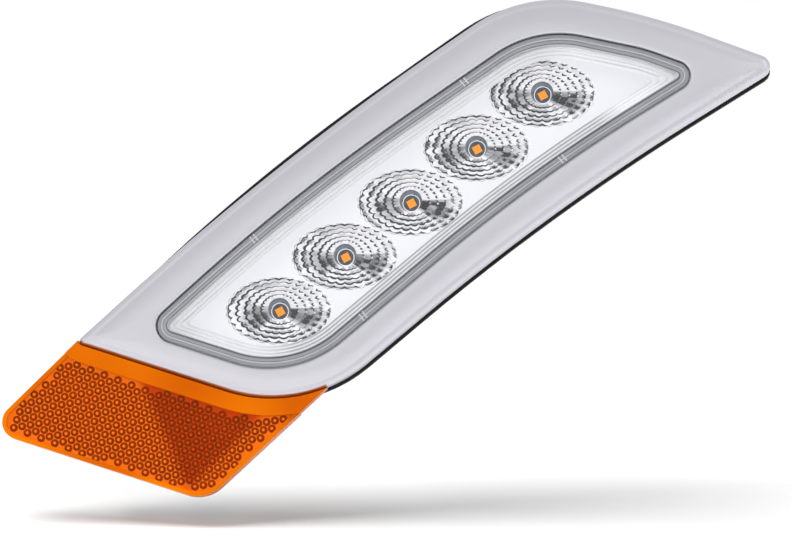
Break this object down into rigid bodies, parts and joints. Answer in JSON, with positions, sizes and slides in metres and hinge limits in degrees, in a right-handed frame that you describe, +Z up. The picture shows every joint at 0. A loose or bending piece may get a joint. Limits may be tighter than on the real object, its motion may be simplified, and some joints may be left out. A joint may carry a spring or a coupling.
{
  "type": "side repeater lamp",
  "caption": "Side repeater lamp for a truck bonnet: chromed bezel round a clear lens with lamps in faceted cups, and an amber reflex reflector at the rear end.",
  "frame": {"origin": "axis of the middle stud where it meets the vehicle's panel", "axes": "+Y inwards through the vehicle's panel, so that the lens looks along -Y; +X forwards along the vehicle; +Z up"},
  "size_m": [0.2616, 0.0403, 0.1685],
  "materials": {
    "chrome_plate": "satin chrome plating on ABS",
    "clear_lens": "clear polycarbonate, polished",
    "sealant": "cured silicone",
    "silvered": "vacuum metallised polycarbonate",
    "lamp_body": "moulded lamp package",
    "lamp_window": "amber silicone",
    "board": "white solder mask on glass-filled laminate",
    "zinc": "zinc-plated steel",
    "component_black": "moulded epoxy",
    "component_metal": "drawn aluminium can",
    "terminal": "tinned brass",
    "case_black": "black ABS, fine grain",
    "gasket_foam": "closed-cell foam rubber",
    "vent_film": "woven breather film",
    "amber_acrylic": "polished amber acrylic",
    "backing_white": "white ABS"
  },
  "bodies": {
    "root": {"bezel": "chrome_plate", "bezel_screws": "zinc", "outer_lens": "clear_lens", "lens_seal": "sealant", "reflector": "silvered", "circuit_board": "board", "board_screws": "zinc", "driver_chip": "component_black", "surge_diode": "component_black", "capacitor": "component_metal", "resistors": "component_black", "socket_terminals": "terminal", "rear_case": "case_black", "vent_membrane": "vent_film", "mounting_gasket": "gasket_foam", "stud_middle": "zinc", "stud_rear": "zinc", "stud_tip": "zinc", "reflex_reflector": "amber_acrylic", "reflex_backing": "backing_white", "lamp_package_1": "lamp_body", "lamp_window_1": "lamp_window", "lamp_package_2": "lamp_body", "lamp_window_2": "lamp_window", "lamp_package_3": "lamp_body", "lamp_window_3": "lamp_window", "lamp_package_4": "lamp_body", "lamp_window_4": "lamp_window", "lamp_package_5": "lamp_body", "lamp_window_5": "lamp_window"}
  },
  "joints": []
}
